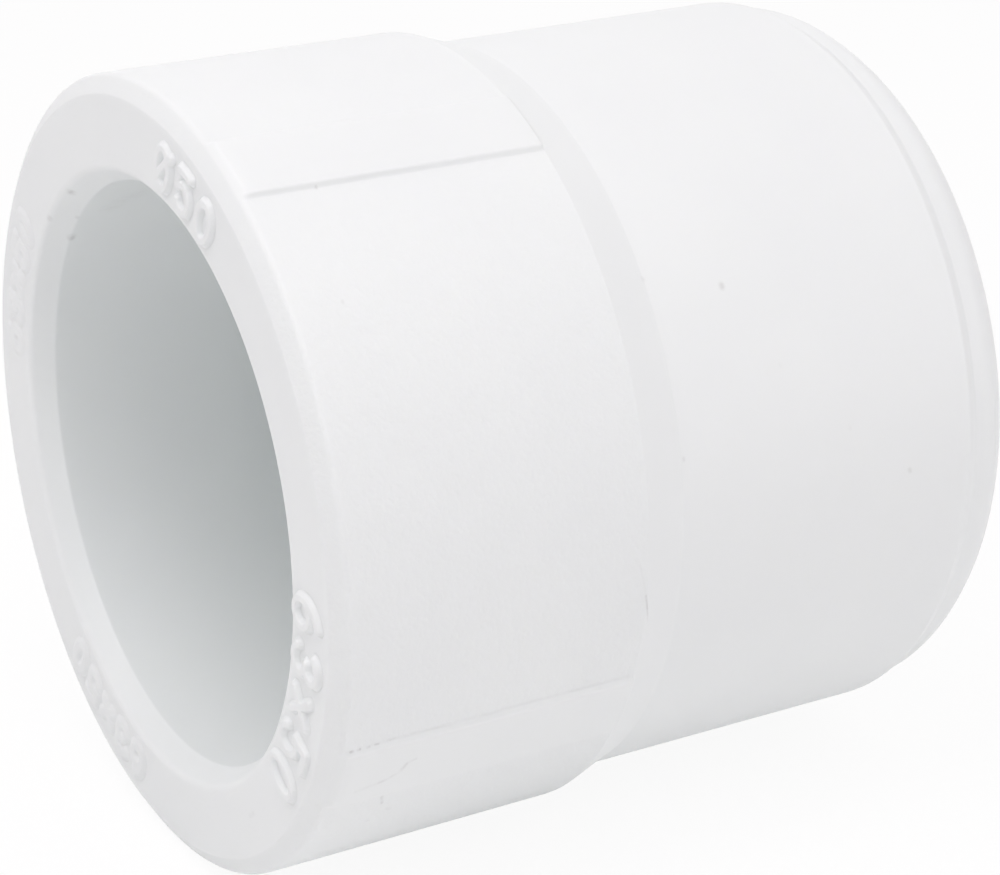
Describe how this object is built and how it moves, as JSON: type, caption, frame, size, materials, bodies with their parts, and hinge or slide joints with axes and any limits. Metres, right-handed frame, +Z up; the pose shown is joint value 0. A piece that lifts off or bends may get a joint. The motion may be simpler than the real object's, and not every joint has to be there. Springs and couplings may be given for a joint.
{
  "type": "concentric pipe reducer",
  "caption": "White moulded polypropylene reducer that joins a smaller pipe, welded into its ribbed socket, to the next larger socket, which its plain spigot enters on the same axis.",
  "frame": {"origin": "on the flow axis, half way along the length", "axes": "+X along the flow axis from the socket face to the spigot's end; +Z up, with the part lying as in the picture; the pictured side faces -Y"},
  "size_m": [0.0642, 0.0662, 0.0662],
  "materials": {
    "white_polypropylene": "satin moulded white polypropylene; fine spark-eroded grain on the socket's outside between smooth ribs"
  },
  "bodies": {
    "root": {"reducer_body": "white_polypropylene"}
  },
  "joints": []
}
